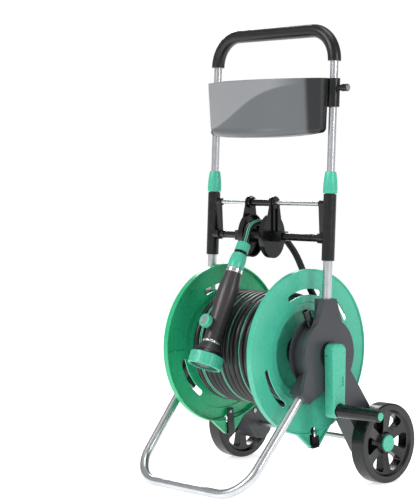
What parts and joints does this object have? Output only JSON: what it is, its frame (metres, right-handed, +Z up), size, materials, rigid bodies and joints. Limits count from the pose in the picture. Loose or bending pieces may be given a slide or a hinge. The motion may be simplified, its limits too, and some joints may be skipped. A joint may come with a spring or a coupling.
{
  "type": "garden hose reel cart",
  "caption": "Wheeled hose reel cart with a crank, a telescopic handle with basket, a sliding hose guide and a spray gun on the hose",
  "frame": {"origin": "on the ground, at the middle of the cart's footprint", "axes": "+X towards the crank side, +Y towards the wheels at the back, +Z up"},
  "size_m": [0.546, 0.4544, 0.942],
  "materials": {
    "green_plastic": "gloss",
    "dark_plastic": "satin",
    "black_plastic": "satin",
    "grey_plastic": "satin",
    "tube_metal": "satin",
    "steel": "brushed",
    "chrome_trim": "polished",
    "foam": "matte",
    "hose_rubber": "satin"
  },
  "bodies": {
    "frame": {"front_stand": "tube_metal", "axle": "steel", "side_bracket_right": "dark_plastic", "side_bracket_left": "dark_plastic", "arm_cover_right": "dark_plastic", "arm_cover_left": "dark_plastic", "cover_screws": "steel", "hub_ring_right": "black_plastic", "hub_ring_left": "black_plastic", "bearing_bush_right": "black_plastic", "bearing_bush_left": "black_plastic", "lower_tube_right": "tube_metal", "lower_tube_left": "tube_metal", "tube_sleeve_right": "dark_plastic", "tube_sleeve_left": "dark_plastic", "upper_cross_rod": "tube_metal", "lower_cross_bar": "black_plastic", "collet_right": "black_plastic", "collet_left": "black_plastic", "water_inlet": "dark_plastic", "axle_retainers": "steel"},
    "handle": {"handle_tube": "tube_metal", "foam_grip": "foam", "basket": "grey_plastic", "accessory_peg": "black_plastic"},
    "collar_right": {"twist_collar_right": "green_plastic"},
    "collar_left": {"twist_collar_left": "green_plastic"},
    "wheel_right": {"wheel_right": "black_plastic", "hub_cap_right": "green_plastic"},
    "wheel_left": {"wheel_left": "black_plastic", "hub_cap_left": "green_plastic"},
    "drum": {"drum_barrel": "grey_plastic", "flange_right": "green_plastic", "flange_left": "green_plastic", "hose_clip_right": "chrome_trim", "hose_clip_left": "chrome_trim", "clip_rivets": "steel", "crank_journal": "black_plastic", "left_journal": "black_plastic", "shaft_seals": "hose_rubber", "drum_elbow": "black_plastic", "hose_winding": "hose_rubber", "crank_arm": "green_plastic", "crank_dowel": "steel", "crank_pin": "steel"},
    "crank_grip": {"crank_grip": "dark_plastic", "grip_cap": "green_plastic"},
    "guide": {"guide_cheek_right": "black_plastic", "guide_cheek_left": "black_plastic", "guide_spacer": "black_plastic", "hose_lead": "hose_rubber", "connector_nut": "green_plastic", "connector_core": "black_plastic", "gun_neck_ring": "chrome_trim", "gun_body": "grey_plastic"},
    "guide_roller": {"guide_roller": "black_plastic"},
    "coupler_sleeve": {"connector_sleeve": "green_plastic"},
    "nozzle": {"gun_bezel": "green_plastic", "gun_rose": "grey_plastic"},
    "flow_knob": {"gun_flow_knob": "green_plastic"}
  },
  "joints": [
    {"name": "handle_slide", "type": "slide", "parent": "frame", "child": "handle", "axis": [0, 0.046, 0.9989], "range_m": [-0.065, 0]},
    {"name": "collar_right_twist", "type": "hinge", "parent": "frame", "child": "collar_right", "pos_m": [0.1225, 0.02615, 0.598], "axis": [0, 0.046, 0.9989], "range_deg": [0, 90]},
    {"name": "collar_left_twist", "type": "hinge", "parent": "frame", "child": "collar_left", "pos_m": [-0.2145, 0.02615, 0.598], "axis": [0, 0.046, 0.9989], "range_deg": [0, 90]},
    {"name": "wheel_right_spin", "type": "hinge", "parent": "frame", "child": "wheel_right", "pos_m": [0.164, 0.14475, 0.0825], "axis": [1, 0, 0], "continuous": true},
    {"name": "wheel_left_spin", "type": "hinge", "parent": "frame", "child": "wheel_left", "pos_m": [-0.256, 0.14475, 0.0825], "axis": [1, 0, 0], "continuous": true},
    {"name": "drum_spin", "type": "hinge", "parent": "frame", "child": "drum", "pos_m": [-0.046, 0.00925, 0.274], "axis": [1, 0, 0], "continuous": true},
    {"name": "crank_grip_spin", "type": "hinge", "parent": "drum", "child": "crank_grip", "pos_m": [0.214, 0.00925, 0.163], "axis": [1, 0, 0], "continuous": true},
    {"name": "guide_slide", "type": "slide", "parent": "frame", "child": "guide", "axis": [1, 0, 0], "range_m": [-0.04, 0.035]},
    {"name": "guide_roller_spin", "type": "hinge", "parent": "guide", "child": "guide_roller", "pos_m": [-0.068, 0.02197, 0.507], "axis": [1, 0, 0], "continuous": true},
    {"name": "coupler_release", "type": "slide", "parent": "guide", "child": "coupler_sleeve", "axis": [-0.093, 0.5394, 0.8369], "range_m": [0, 0.004], "stiffness_N_per_m": 1500, "springref_m": -0.002},
    {"name": "nozzle_turn", "type": "hinge", "parent": "guide", "child": "nozzle", "pos_m": [-0.048, -0.15857, 0.26095], "axis": [0, -0.4141, -0.9102], "continuous": true},
    {"name": "flow_knob_turn", "type": "hinge", "parent": "guide", "child": "flow_knob", "pos_m": [-0.048, -0.15838, 0.34107], "axis": [0, -0.9102, 0.4141], "range_deg": [0, 90]}
  ]
}
